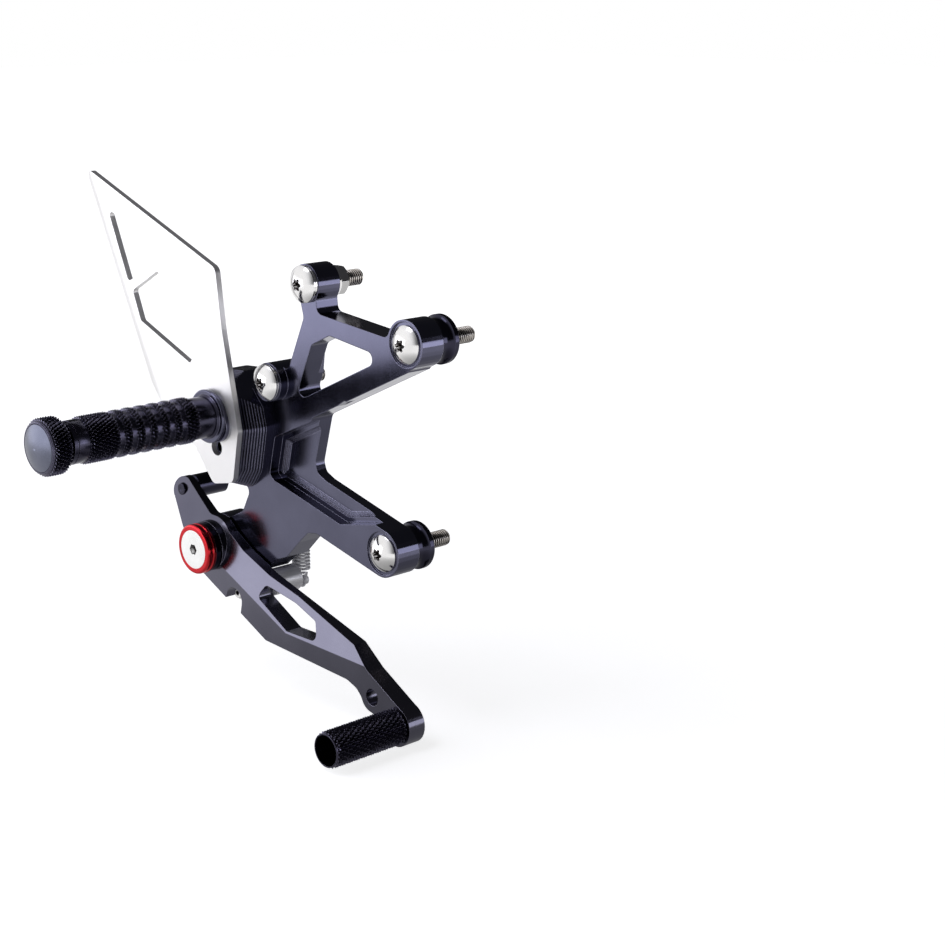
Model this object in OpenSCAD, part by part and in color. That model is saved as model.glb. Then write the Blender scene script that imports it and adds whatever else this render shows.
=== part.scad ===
// Rear-set footrest, brake side, with heel guard, foot peg and brake lever.
// Every module is drawn flat: x forward, y up, z outboard from the motorcycle frame.
// build() stands it up, so that the finished part has x forward, y inboard and z up.
// The origin is the front frame bolt's axis, at the face that touches the motorcycle frame.

// Node to draw, or all of them

/* [Frame bolts] */
// Upper bolt, forward of the front bolt
upper_x = -68.2; // [-80:0.1:-60]
// Upper bolt, above the front bolt
upper_y = 20.2; // [14:0.1:26]
// Middle bolt, forward of the front bolt
middle_x = -92.4; // [-96:0.1:-88]
// Middle bolt, above the front bolt
middle_y = -29.5; // [-33:0.1:-26]
// Lower bolt, forward of the front bolt
lower_x = -17.4; // [-26:0.1:-8]
// Lower bolt, above the front bolt
lower_y = -100.7; // [-110:0.1:-94]
// Bolt thread diameter
thread_d = 8; // [6:0.5:10]
// Length under the head of the front and lower bolts
frame_bolt_len = 40; // [36:1:50]
// Length under the head of the upper and middle bolts
clamp_bolt_len = 35; // [30:1:45]
// Bolt head diameter
head_d = 17.8; // [14:0.1:19]
// Bolt head height
head_h = 4.6; // [3:0.1:6]
// Height of the plain rim below the dome
head_rim = 0.9; // [0.4:0.1:1.5]
// Distance of the six lobes from the middle of the drive
drive_r = 2.3; // [1.6:0.1:3]
// Depth of the drive
drive_depth = 3.4; // [1.5:0.1:3.8]
// Depth of the thread relief where a bolt leaves the part
relief_depth = 0.8; // [0.4:0.1:1.2]
// Clearance of a bolt in its hole, on the diameter
bolt_clear = 0.5; // [0.2:0.1:1]

/* [Spacers and washers] */
// Length of the spacers on the frame side
spacer_len = 10.3; // [6:0.1:16]
// Spacer diameter
spacer_d = 23.2; // [20:0.1:26]
// Thickness of the spacer's rim at the motorcycle frame
rim_t = 3.1; // [2:0.1:4]
// Diameter of the waist at the plate
waist_d = 19; // [17:0.1:20]
// Radius of the hollow between waist and rim
waist_r = 4; // [3:0.1:5]
// Washer thickness under the upper and middle heads
washer_t = 1.4; // [0.8:0.1:2.5]
// Flange nut width across flats
nut_af = 13; // [11:0.5:15]
// Flange nut height without its flange
nut_h = 5.4; // [4:0.1:8]
// Flange of the nut, diameter
nut_flange_d = 17; // [15:0.5:19]
// Flange of the nut, thickness
nut_flange_t = 2.6; // [1.5:0.1:3.5]

/* [Bracket] */
// Thickness of the bracket plate
plate_t = 13.2; // [10:0.1:18]
// Boss diameter at the front and lower bolts
boss_d = 23; // [21:0.1:26]
// Boss diameter at the upper and middle bolts
small_boss_d = 18.8; // [18:0.1:21]
// Counterbore diameter round the front and lower heads
recess_d = 20.8; // [19:0.1:22]
// Counterbore depth
recess_depth = 1; // [0.5:0.1:3]
// Height of the middle boss above the plate
middle_boss_h = 4.5; // [2:0.1:8]
// Width of the struts
strut_w = 10; // [8:0.1:13]
// Fillet between struts
strut_fillet = 3.5; // [1:0.1:6]
// Depth of the first terrace of the front pocket
terrace_depth = 5.2; // [2:0.1:6]
// Depth of the pocket floor below the first terrace
floor_drop = 2.2; // [1:0.1:3]
// Width of the terrace ledge
ledge_w = 2.6; // [1.5:0.1:4]
// Depth of the relief milled round the window from behind
back_relief = 2.8; // [0.5:0.1:5]
// Width of that relief
back_relief_w = 3.2; // [1:0.1:4]
// Number of cutter passes in the fillet between ledge and pocket floor
fillet_passes = 5; // [3:1:8]

/* [Guard block] */
// Height of the stepped block that carries the heel guard and the peg
block_t = 13.4; // [9:0.1:18]
// Number of milled steps on the block
block_steps = 10; // [6:1:14]
// Growth of the block from the guard down to the plate
block_flare = 5; // [2:0.1:7]

/* [Heel guard] */
// Sheet thickness
guard_t = 3; // [2:0.1:5]
// Width of the bent rear lip
lip_w = 8; // [4:0.1:12]
// Angle of the rear lip
lip_angle = 24; // [10:1:35]
// Inside radius of the lip's bend
lip_bend_r = 7; // [3:0.5:12]
// Corner radius of the guard
guard_corner = 4.5; // [2:0.1:6]
// Diameter of the spare peg hole below the peg
spare_hole_d = 8.2; // [6:0.1:9]
// Distance of the spare hole below the peg
spare_hole_drop = 15.6; // [15:0.1:20]

/* [Foot peg] */
// Peg axis, forward of the front bolt
peg_x = -122.1; // [-126:0.1:-118]
// Peg axis, above the front bolt
peg_y = -48.6; // [-52:0.1:-45]
// Flange diameter of the peg mount
mount_d = 26.5; // [24:0.1:29]
// Flange thickness
mount_flange_t = 2; // [1:0.1:3]
// Diameter of the eccentric disc behind the flange
eccentric_d = 17.8; // [16:0.1:19]
// Thickness of the eccentric disc
eccentric_t = 1.8; // [1:0.1:3]
// Length of the smooth neck
neck_len = 11.4; // [6:0.1:16]
// Neck diameter
neck_d = 20.4; // [18:0.1:23]
// Diameter over the knurl
sleeve_d = 23.2; // [20:0.1:27]
// Length of the knurled sleeve
sleeve_len = 61.3; // [50:0.1:75]
// Number of grooves in the sleeve
groove_count = 6; // [3:1:7]
// Spacing of the grooves
groove_pitch = 7.1; // [6:0.1:8]
// Groove width
groove_w = 3; // [1.5:0.1:4]
// Groove depth
groove_depth = 0.9; // [0.4:0.1:1.5]
// Length of the smooth end of the sleeve
plain_len = 11.6; // [8:0.1:16]
// Diameter of the smooth end
plain_d = 20.8; // [18:0.1:23]
// End cap diameter
cap_d = 27.8; // [25:0.1:30]
// Length of the knurled end cap
cap_len = 9.2; // [6:0.1:14]
// Diameter of the domed end disc
disc_d = 22.2; // [18:0.1:24]
// Height of the dome
dome_h = 2; // [1:0.1:4]
// Diameter of the socket that takes the end cap's spigot
socket_d = 14; // [12:0.1:15]
// Depth of that socket
socket_depth = 12; // [10:0.1:16]
// Length of the spigot
spigot_len = 8; // [5:0.1:9]
// Diameter of the bolt inside the peg
peg_bolt_d = 8; // [6:0.5:10]

/* [Brake lever] */
// Pivot axis, forward of the front bolt
pivot_x = -138; // [-140:0.1:-136]
// Pivot axis, above the front bolt
pivot_y = -119.6; // [-122:0.1:-118]
// Lever thickness
lever_t = 9.6; // [7:0.1:12]
// Hub diameter of the lever and of the bracket at the pivot
hub_d = 30; // [28:0.1:33]
// Toe peg axis, forward of the pivot
toe_dx = 140.2; // [130:0.1:150]
// Toe peg axis, above the pivot
toe_dy = -58.2; // [-62:0.1:-55]
// Brake rod pin, forward of the pivot
pin_dx = -24.5; // [-28:0.1:-21]
// Brake rod pin, above the pivot
pin_dy = 24.8; // [22:0.1:28]
// End radius of the short arm
arm_r = 6.3; // [5.5:0.1:8]
// Slope of the bevelled facet near the pivot
facet_angle = 16; // [10:1:19]
// Slope of the bevelled facet near the toe
facet_toe_angle = 16; // [10:1:19]
// Bush bore, which is the pivot bolt's shoulder
pivot_d = 10; // [8:0.5:12]
// Wall of the pivot bush
bush_wall = 1.5; // [1:0.1:3]
// Running clearance of the lever on its bush, on the diameter
running_clear = 0.1; // [0.04:0.01:0.2]
// Thickness of the thrust washer behind the lever
thrust_t = 1; // [0.6:0.1:2]
// Axial play of the lever on each side
side_play = 0.1; // [0.05:0.01:0.3]
// Thickness of the black washer in front of the lever
hub_washer_t = 3.5; // [2:0.1:5]
// Red ring diameter
ring_d = 25.4; // [24:0.1:27]
// Red ring thickness
ring_t = 5; // [3.5:0.1:7]
// Pivot bolt head diameter
pivot_head_d = 19.6; // [16:0.1:21]
// Pivot bolt hexagon across flats
pivot_hex = 5; // [4:0.5:6]

/* [Toe peg and brake rod] */
// Toe peg diameter over the knurl
toe_d = 17.8; // [14:0.1:20]
// Toe peg length
toe_len = 42.2; // [30:0.1:50]
// Wall of the toe peg's tube
toe_wall = 1.6; // [1:0.1:3]
// Thickness of the toe peg's solid end at the lever
toe_base = 6.2; // [4:0.1:9]
// Diameter of the spare toe peg hole
toe_hole_d = 8.4; // [6:0.1:9]
// Rod pin diameter
pin_d = 6; // [5:0.1:7]
// Rod pin head diameter
pin_head_d = 8.2; // [7:0.1:9]
// Length of the trunnion that takes the brake rod
trunnion_len = 20.6; // [12:0.1:24]
// Trunnion diameter
trunnion_d = 12; // [10:0.1:12.6]

/* [Return spring] */
// Spring coil diameter, middle of the wire
coil_d = 8.2; // [6:0.1:10]
// Wire diameter
wire_d = 1.4; // [0.8:0.1:1.8]
// Number of turns
coil_turns = 9; // [6:1:11]
// Turn pitch
coil_pitch = 1.75; // [1.6:0.01:2.2]
// Turn of the hook at each end, in steps of 24
hook_turn = 216; // [192:24:264]
// Distance of the spring's axis behind the bracket plate
spring_gap = 7.2; // [6:0.1:9]
// Diameter of the stud and post that hold the spring
stud_d = 5; // [4:0.1:6]
// Thread of the small screw in the lever's notch
screw_d = 4; // [3:0.5:5]
// Stop pin diameter
stop_d = 5; // [4:0.1:6]

/* [Hidden] */
$fn = 64;
eps = 0.02;

front = [0, 0];
upper = [upper_x, upper_y];
middle = [middle_x, middle_y];
lower = [lower_x, lower_y];
peg = [peg_x, peg_y];
pivot = [pivot_x, pivot_y];
toe = pivot + [toe_dx, toe_dy];
rod = pivot + [pin_dx, pin_dy];
spare_hole = peg + [2.8, -spare_hole_drop];
toe_hole = toe + [-16, 10.1];

face_z = spacer_len + plate_t;
seat_z = face_z + block_t;
guard_z = seat_z + guard_t;
mount_z = guard_z + eccentric_t + mount_flange_t;
sleeve_z = mount_z + neck_len;
plain_z = sleeve_z + sleeve_len;
cap_z = plain_z + plain_len;
cap_end_z = cap_z + cap_len;
lever_z = face_z + thrust_t + side_play;
lever_top_z = lever_z + lever_t;
hub_z = lever_top_z + side_play;
ring_z = hub_z + hub_washer_t;
ring_top_z = ring_z + ring_t;
toe_top_z = lever_top_z + toe_len;
spring_z = spacer_len - spring_gap;
bore_d = thread_d + bolt_clear;
fork = upper + [3.2, -16.7];
knee = middle + [20.9, -11];
sling = front + [0, -7.5];
guard_tip = peg + [-103, 113.2];
guard_heel = peg + [-54.2, 11];
bush_d = pivot_d + 2 * bush_wall;
stop_at = [40.2, -8.8];
stud_at = [36.4, -16.8];
post_at = [36.4, 9];
screw_at = [19.8, -21];
facet_reach = 1.2 * norm([toe_dx, toe_dy]);
hook_r = stud_d / 2 + 0.35;
coil_span = coil_pitch * coil_turns;
coil_low = (post_at.y + stud_at.y - coil_span) / 2;

black = [0.07, 0.07, 0.08];
steel = [0.75, 0.75, 0.77];
bright = [0.86, 0.86, 0.87];
red = [0.75, 0.05, 0.06];
bronze = [0.6, 0.45, 0.25];

module build() rotate([90, 0, 0]) children();

module at(p, z = 0) translate([p.x, p.y, z]) children();

module slab(z0, z1) translate([0, 0, z0]) linear_extrude(z1 - z0) children();

module disc(p, d) translate(p) circle(d = d);

module rod_solid(p, z0, z1, d) at(p, z0) cylinder(d = d, h = z1 - z0);

// Cylinder with both ends chamfered by c
module pin_solid(p, z0, z1, d, c = 0.6) at(p, z0) rotate_extrude()
    polygon([[0, 0], [d / 2 - c, 0], [d / 2, c], [d / 2, z1 - z0 - c], [d / 2 - c, z1 - z0], [0, z1 - z0]]);

// Straight bar from a to b, with its own width at each end
module bar(a, b, wa, wb) {
    d = b - a;
    n = [-d.y, d.x] / norm(d) / 2;
    polygon([a + n * wa, b + n * wb, b - n * wb, a - n * wa]);
}

// Rounds the inner corners of a flat shape
module fillet_in(r) offset(r = -r, $fn = 32) offset(r = r, $fn = 32) children();

// Rounds the outer corners of a flat shape
module round_out(r) offset(r = r, $fn = 32) offset(delta = -r) children();

// Domed head that stands on z = 0, with a six-lobed drive
module domed_head() {
    dome = head_h - head_rim;
    sphere_r = (pow(head_d / 2, 2) + dome * dome) / (2 * dome);
    difference() {
        rotate_extrude() {
            square([head_d / 2, head_rim]);
            intersection() {
                translate([0, head_h - sphere_r]) circle(r = sphere_r, $fn = 160);
                translate([0, head_rim - eps]) square([head_d / 2, dome + eps]);
            }
        }
        translate([0, 0, head_h - drive_depth]) linear_extrude(drive_depth + 1) {
            circle(r = drive_r);
            for (a = [0 : 60 : 300]) rotate(a) translate([drive_r, 0]) circle(r = drive_r * 0.36);
        }
    }
}

// Bolt whose head sits on z = base. Its shank runs towards the frame and leaves the part at z = free
module bolt(p, base, len, free) {
    r = thread_d / 2;
    at(p, base) domed_head();
    at(p) rotate_extrude() polygon([
        [0, base - len], [r - 0.7, base - len], [r, base - len + 0.7], [r, free - 0.3],
        [r - relief_depth, free - 0.3], [r - relief_depth, free + 0.9], [r, free + 0.9 + relief_depth],
        [r, base + eps], [0, base + eps]
    ]);
}

// Flat outlines of the bracket

module guard_seat() {
    round_out(3) polygon([for (p = [
        [13.1, 10.1], [17, -6.1], [12.8, -25.9], [7.4, -33.6], [1.1, -30.9],
        [-9.9, -19.4], [-19.9, -9.4], [-19.9, 4.6], [-9.9, 14.6], [6.1, 15.6]
    ]) peg + p]);
}

// Keeps what lies below the slanting top of the stepped block
module below_block_top() intersection() {
    children();
    translate(peg + [13.9, 10.2]) rotate(132.5) translate([-60, 0]) square([120, 90]);
}

module window_cut() {
    difference() {
        polygon([fork, sling, knee]);
        bracket_bars();
    }
}

module bracket_bars() {
    fillet_in(strut_fillet) {
        disc(front, boss_d);
        bar(upper, fork, strut_w * 1.25, strut_w);
        disc(fork, strut_w);
        bar(fork, knee + [-10.4, 7.5], strut_w, strut_w);
        bar(fork, front + [0, -4.8], strut_w * 0.8, strut_w);
        bar(sling, knee, strut_w * 1.05, strut_w * 1.05);
        polygon([fork, fork + [14.2, -5.4], fork + [1.1, -11.4]]);
        polygon([middle, knee, knee + [6, -3], knee + [-20, -15]]);
        disc(middle, small_boss_d);
    }
}

module body_outline() {
    polygon([
        middle, knee + [-4, -4], knee + [5.4, -3.6], knee + [-1.5, -27.8], knee + [0.2, -32.5],
        knee + [6, -35.2], lower + [2.8, 11.15], lower, lower + [-2.8, -11.15],
        pivot + [73.5, 19.2], pivot + [67, 18.2], pivot + [60, 12], pivot + [50.4, 2.6],
        pivot + [42, -0.6], pivot + [35, -6.8], pivot + [3, -hub_d / 2 + 0.3], pivot,
        pivot + [5.4, hub_d / 2 - 1], pivot + [16.5, 19.5], pivot + [20, 26], peg + [18, -20],
        peg + [14, 12]
    ]);
}

module plate_outline() {
    fillet_in(strut_fillet) {
        bracket_bars();
        disc(upper, small_boss_d);
        disc(lower, boss_d);
        disc(pivot, hub_d);
        body_outline();
        below_block_top() offset(delta = block_flare) guard_seat();
    }
}

module pocket_outline() {
    round_out(2.5) polygon([
        knee + [30, 9], knee + [13.7, -1], knee + [-22.8, -17.1], knee + [-27.6, -36.5],
        knee + [-24.5, -39], lower + [-29.6, 8.4], lower + [-2, 13.6], lower + [10, 14],
        lower + [10, 50]
    ]);
}

module bracket() color(black) difference() {
    union() {
        difference() {
            slab(spacer_len, face_z) plate_outline();
            slab(face_z - terrace_depth, face_z + 1) difference() {
                pocket_outline();
                disc(lower, boss_d);
            }
            for (i = [1 : fillet_passes]) {
                turn = 90 * i / fillet_passes;
                inset = ledge_w + floor_drop * (1 - cos(turn));
                slab(face_z - terrace_depth - floor_drop * sin(turn), face_z) difference() {
                    offset(delta = -inset) pocket_outline();
                    disc(lower, boss_d + 2 * inset);
                }
            }
            slab(spacer_len - 1, spacer_len + back_relief) offset(r = back_relief_w, $fn = 32) window_cut();
        }
        rod_solid(pivot, spacer_len, face_z, hub_d);
        rod_solid(middle, spacer_len, face_z + middle_boss_h, small_boss_d);
        for (i = [0 : block_steps - 1])
            slab(face_z + i * block_t / block_steps - eps, face_z + (i + 1) * block_t / block_steps)
                below_block_top() offset(delta = block_flare * (block_steps - 1 - i) / block_steps) guard_seat();
    }
    for (p = [upper, middle, front, lower]) rod_solid(p, spacer_len - 1, face_z + block_t, bore_d);
    for (p = [front, lower]) rod_solid(p, face_z - recess_depth, face_z + 1, recess_d);
    rod_solid(pivot, spacer_len - 1, face_z + 1, thread_d + running_clear);
    rod_solid(peg, spacer_len - 1, seat_z + 1, peg_bolt_d + running_clear);
    rod_solid(spare_hole, face_z, seat_z + 1, spare_hole_d - 1.4);
    rod_solid(pivot + post_at, spacer_len - 1, spacer_len + 8, stud_d + running_clear);
}

module bolt_upper() color(steel) bolt(upper, face_z + washer_t, clamp_bolt_len, spacer_len - nut_flange_t - nut_h);

module washer_upper() color(steel) difference() {
    pin_solid(upper, face_z, face_z + washer_t, head_d, 0.2);
    rod_solid(upper, face_z - 1, face_z + washer_t + 1, bore_d);
}

module nut_upper() color(steel) difference() {
    union() {
        at(upper, spacer_len - nut_flange_t) cylinder(d1 = nut_flange_d - 1.6, d2 = nut_flange_d, h = nut_flange_t);
        at(upper, spacer_len - nut_flange_t - nut_h) intersection() {
            cylinder(d = nut_af / cos(30), h = nut_h + eps, $fn = 6);
            cylinder(d1 = nut_af + 0.4, d2 = nut_af + 0.4 + 2 * nut_h, h = nut_h + eps);
        }
    }
    rod_solid(upper, 0 - nut_h, spacer_len + 1, thread_d + 0.04);
}

module bolt_middle() color(steel)
    bolt(middle, face_z + middle_boss_h + washer_t, clamp_bolt_len, spacer_len);

module washer_middle() color(steel) difference() {
    z = face_z + middle_boss_h;
    pin_solid(middle, z, z + washer_t, head_d, 0.2);
    rod_solid(middle, z - 1, z + washer_t + 1, bore_d);
}

module bolt_front() color(steel) bolt(front, face_z - recess_depth, frame_bolt_len, 0);

module bolt_lower() color(steel) bolt(lower, face_z - recess_depth, frame_bolt_len, 0);

module spacer(p) difference() {
    hollow_r = waist_d / 2 + waist_r;
    hollow_z = rim_t + sqrt(pow(waist_r, 2) - pow(hollow_r - spacer_d / 2, 2));
    at(p) rotate_extrude() difference() {
        union() {
            square([spacer_d / 2 - 1, spacer_len]);
            translate([0, 1]) square([spacer_d / 2, spacer_len - 1]);
            translate([spacer_d / 2 - 1, 1]) circle(r = 1);
        }
        translate([hollow_r, hollow_z]) circle(r = waist_r);
        translate([waist_d / 2, hollow_z]) square([spacer_d, spacer_len]);
    }
    rod_solid(p, -1, spacer_len + 1, bore_d);
}

module spacer_front() color(black) spacer(front);

module spacer_lower() color(black) spacer(lower);

module guard_outline() {
    round_out(guard_corner) polygon([for (p = [
        [-104.5, 116], [6.3, 73], [10, 43.4], [19.9, -5.2], [14.8, -31.4], [-1, -34.6],
        [-14.4, -18.4], [-53.5, 8.4]
    ]) peg + p]);
}

module guard_windows() {
    round_out(1.8) polygon([for (p = [[-81, 94], [-65.8, 59], [-28, 76]]) peg + p]);
    round_out(1.8) polygon([for (p = [
        [-40.6, 66.8], [-62.4, 54.8], [-56.4, 40.1], [-16, 23.6], [-12.4, 31.6], [-17.4, 45]
    ]) peg + p]);
}

// Point of the lip's bend, r from its middle, after a turn of a degrees
function bend(r, a) = [-r * sin(a), r * cos(a) - lip_bend_r];

// Sheet with its rear lip bent towards the bike, wider than the guard
module bent_sheet() {
    edge = guard_tip - guard_heel;
    along = edge / norm(edge);
    across = [along.y, -along.x];
    reach = norm(edge) * 2;
    outer_r = lip_bend_r + guard_t;
    lip = 3 * lip_w * [-cos(lip_angle), -sin(lip_angle)];
    at(guard_heel + across * lip_w, seat_z) rotate([0, 0, atan2(across.y, across.x)]) rotate([90, 0, 0])
        linear_extrude(reach * 1.4, center = true) polygon(concat(
            [[reach, 0]],
            [for (i = [0 : 6]) bend(lip_bend_r, i * lip_angle / 6)],
            [bend(lip_bend_r, lip_angle) + lip, bend(outer_r, lip_angle) + lip],
            [for (i = [6 : -1 : 0]) bend(outer_r, i * lip_angle / 6)],
            [[reach, guard_t]]
        ));
}

module heel_guard() color(bright) difference() {
    intersection() {
        slab(seat_z - lip_w * 2, guard_z + 1) guard_outline();
        bent_sheet();
    }
    slab(seat_z - 1, guard_z + 1) {
        guard_windows();
        disc(peg, peg_bolt_d + bolt_clear);
        disc(spare_hole, spare_hole_d);
    }
}

module peg_mount() color(black) difference() {
    union() {
        at(peg + [4.6, -3.4], guard_z) cylinder(d = eccentric_d, h = eccentric_t + eps);
        at(peg, guard_z) cylinder(d = mount_d - 3, h = eccentric_t + eps);
        pin_solid(peg, guard_z + eccentric_t, mount_z, mount_d, 0.5);
    }
    rod_solid(peg, guard_z - 1, mount_z + 1, peg_bolt_d + bolt_clear);
}

module footpeg_sleeve() color(black) difference() {
    at(peg, mount_z) rotate_extrude() difference() {
        top = cap_z - mount_z;
        plain = plain_z - mount_z;
        polygon([
            [0, 0], [neck_d / 2 + 1, 0], [neck_d / 2, 1], [neck_d / 2, neck_len - 1.4],
            [sleeve_d / 2, neck_len], [sleeve_d / 2, plain - 0.8], [sleeve_d / 2 - 0.8, plain],
            [plain_d / 2, plain], [plain_d / 2, plain + plain_len * 0.55],
            [plain_d / 2 - 0.4, plain + plain_len * 0.55 + 0.4], [plain_d / 2 - 0.4, top - 2.6],
            [plain_d / 2 - 1.4, top - 2.2], [plain_d / 2 - 1.4, top], [0, top]
        ]);
        for (i = [0 : groove_count - 1])
            translate([sleeve_d / 2 - groove_depth, neck_len + 7 + i * groove_pitch]) {
                square([groove_depth + 1, groove_w]);
            }
    }
    rod_solid(peg, mount_z - 1, cap_z - socket_depth, peg_bolt_d + bolt_clear);
    rod_solid(peg, cap_z - socket_depth - eps, cap_z + 1, socket_d);
}

module footpeg_cap() color(black) difference() {
    union() {
        pin_solid(peg, cap_z, cap_end_z, cap_d, 0.8);
        rod_solid(peg, cap_end_z - eps, cap_end_z + 1.2, (cap_d + disc_d) / 2);
        rod_solid(peg, cap_z - spigot_len, cap_z + eps, socket_d - 0.2);
    }
    rod_solid(peg, cap_end_z + 1.2 - 3, cap_end_z + 2, disc_d + 0.04);
}

module footpeg_end_disc() color([0.2, 0.2, 0.22]) at(peg, cap_end_z - 1.8) {
    ball_r = (pow(disc_d / 2, 2) + dome_h * dome_h) / (2 * dome_h);
    rotate_extrude() {
        square([disc_d / 2, 3]);
        intersection() {
            translate([0, 3 + dome_h - ball_r]) circle(r = ball_r, $fn = 160);
            translate([0, 3 - eps]) square([disc_d / 2, dome_h + 1]);
        }
    }
}

module peg_bolt() color(steel) difference() {
    union() {
        pin_solid(peg, spacer_len + 1.5, cap_z - socket_depth - 8, peg_bolt_d);
        pin_solid(peg, cap_z - socket_depth - 8 - eps, cap_z - socket_depth - 0.2, peg_bolt_d);
    }
    at(peg, cap_z - socket_depth - 4) cylinder(d = 4 / cos(30), h = 10, $fn = 6);
}

module pivot_bolt() color(bright) difference() {
    cone_h = (pivot_head_d - pivot_d) / 2 * 0.7;
    union() {
        at(pivot) rotate_extrude() polygon([
            [0, spacer_len + 0.8], [thread_d / 2 - 0.6, spacer_len + 0.8], [thread_d / 2, spacer_len + 1.4],
            [thread_d / 2, face_z + 0.05], [pivot_d / 2, face_z + 0.05],
            [pivot_d / 2, ring_top_z - cone_h - 0.4], [pivot_head_d / 2, ring_top_z - 0.4],
            [pivot_head_d / 2, ring_top_z], [0, ring_top_z]
        ]);
    }
    at(pivot, ring_top_z - 3) cylinder(d = pivot_hex / cos(30), h = 4, $fn = 6);
}

module pivot_ring() color(red) difference() {
    cone_h = (pivot_head_d - pivot_d) / 2 * 0.7;
    r = ring_d / 2;
    at(pivot, ring_z) rotate_extrude() difference() {
        union() {
            square([r - 1.2, ring_t]);
            square([r, ring_t - 1.2]);
            translate([r - 1.2, ring_t - 1.2]) circle(r = 1.2);
        }
        translate([r + 0.5, ring_t * 0.42]) circle(r = 0.9);
    }
    at(pivot) rotate_extrude() polygon([
        [0, ring_z - 1], [pivot_d / 2 + 0.03, ring_z - 1], [pivot_d / 2 + 0.03, ring_top_z - cone_h - 0.4],
        [pivot_head_d / 2 + 0.03, ring_top_z - 0.4], [pivot_head_d / 2 + 0.03, ring_top_z + 1], [0, ring_top_z + 1]
    ]);
}

module hub_washer() color(black) difference() {
    pin_solid(pivot, hub_z, ring_z, ring_d - 0.6, 0.4);
    rod_solid(pivot, hub_z - 1, ring_z + 1, pivot_d + 0.06);
}

module pivot_bush() color(bronze) difference() {
    rod_solid(pivot, face_z + thrust_t + 0.02, hub_z - 0.02, bush_d);
    rod_solid(pivot, face_z, hub_z + 1, pivot_d + 0.06);
}

module thrust_washer() color(steel) difference() {
    rod_solid(pivot, face_z, face_z + thrust_t, ring_d - 2);
    rod_solid(pivot, face_z - 1, face_z + thrust_t + 1, pivot_d + 0.06);
}

module lever_outline() {
    fillet_in(6) {
        disc(pivot, hub_d + 1);
        disc(rod, 2 * arm_r);
        bar(pivot + [-1, 0], rod, 24, 2 * arm_r);
        difference() {
            polygon([
                pivot + [2, 14.6], pivot + [9, 11.4], pivot + [24.3, 1.8], pivot + [44.5, -6.8],
                pivot + [109.4, -26.3], toe + [-18.3, 21.9], toe + [5.6, 8],
                toe, toe + [-9.2, -1.5], toe + [-16.4, 2.6], toe + [-22.6, 7.4],
                toe + [-27, 11.8], toe + [-33.6, 14.4], pivot + [45.4, -39],
                pivot + [27.5, -30.2], pivot + [-2, -15.8]
            ]);
            disc(pivot + [21, -23.4], 12.4);
            bar(pivot + [21, -23.4], pivot + [17, -38], 12.4, 14);
        }
        disc(toe, toe_d + 2);
        disc(toe_hole, toe_hole_d + 7);
    }
}

module lever_window() {
    round_out(2.6) polygon([
        pivot + [38.8, -18.1], pivot + [43.2, -11.6], pivot + [50.5, -13.2], pivot + [64, -16.4],
        pivot + [80.5, -21.7], pivot + [84, -30.9], pivot + [61.6, -30.6]
    ]);
}

// Everything above a slope that starts on the line from a to b and sinks to its left
module sloped_cut(a, b, angle) {
    d = b - a;
    at(a, lever_top_z) rotate([0, 0, atan2(d.y, d.x)]) rotate([90, 0, 90])
        translate([0, 0, -facet_reach]) linear_extrude(2 * facet_reach)
            polygon([[0, 0], [facet_reach, -facet_reach * tan(angle)], [facet_reach, lever_t], [0, lever_t]]);
}

module lever_facet() difference() {
    ridge = [pivot + [12, -8.3], pivot + [61.2, -31.6], pivot + [120.2, -34.2]];
    intersection() {
        sloped_cut(ridge[0], ridge[1], facet_angle);
        sloped_cut(ridge[1], ridge[2], facet_toe_angle);
        sloped_cut(ridge[2], toe + [-22, 34], 62);
    }
    rod_solid(pivot, 0, lever_top_z + 70, ring_d + 0.6);
}

module brake_lever() color(black) difference() {
    union() {
        slab(lever_z, lever_top_z) lever_outline();
        slab(lever_z, lever_z + 2.4) bar(pivot + [10, -12], pivot + screw_at, 10, 7.6);
        rod_solid(pivot + screw_at, lever_z, lever_z + 2.4, 7.6);
    }
    lever_facet();
    slab(lever_z - 1, lever_top_z + 1) lever_window();
    rod_solid(pivot, lever_z - 1, lever_top_z + 1, bush_d + running_clear);
    rod_solid(toe_hole, lever_z - 1, lever_top_z + 1, toe_hole_d);
    rod_solid(toe, lever_z - 1, lever_top_z + 1, 6.5);
    rod_solid(toe, lever_z - 1, lever_z + 3.4, 11);
    rod_solid(rod, lever_z - 1, lever_top_z + 1, pin_d + running_clear);
    rod_solid(rod, lever_top_z - 1.2, lever_top_z + 1, pin_head_d + running_clear);
    rod_solid(pivot + stop_at, lever_z - 1, lever_z + 2.8, stop_d + 0.04);
    rod_solid(pivot + stud_at, lever_z - 1, lever_z + 5, stud_d + 0.04);
    rod_solid(pivot + screw_at, lever_z - 1, lever_top_z, screw_d + 0.04);
}

module toe_peg() color(black) difference() {
    at(toe, lever_top_z) rotate_extrude() polygon([
        [0, 0], [toe_d / 2 - 0.6, 0], [toe_d / 2, 0.6], [toe_d / 2, toe_len - 0.5],
        [toe_d / 2 - 0.5, toe_len], [toe_d / 2 - toe_wall + 0.7, toe_len],
        [toe_d / 2 - toe_wall, toe_len - 1.2], [toe_d / 2 - toe_wall, toe_base], [0, toe_base]
    ]);
    rod_solid(toe, lever_top_z - 1, toe_top_z, 6.04);
}

module toe_peg_bolt() color(steel) difference() {
    union() {
        rod_solid(toe, lever_z + 0.4, lever_z + 3.4, 10.4);
        rod_solid(toe, lever_z + 3.4 - eps, lever_top_z + toe_base + 1.4, 6);
    }
    at(toe, lever_z - 0.6) cylinder(d = 5 / cos(30), h = 3, $fn = 6);
}

module rod_pin() color(steel) {
    pin_solid(rod, lever_top_z - 1.2, lever_top_z + 0.3, pin_head_d, 0.4);
    rod_solid(rod, lever_z - trunnion_len + 2, lever_top_z - 1.2 + eps, pin_d);
}

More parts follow.
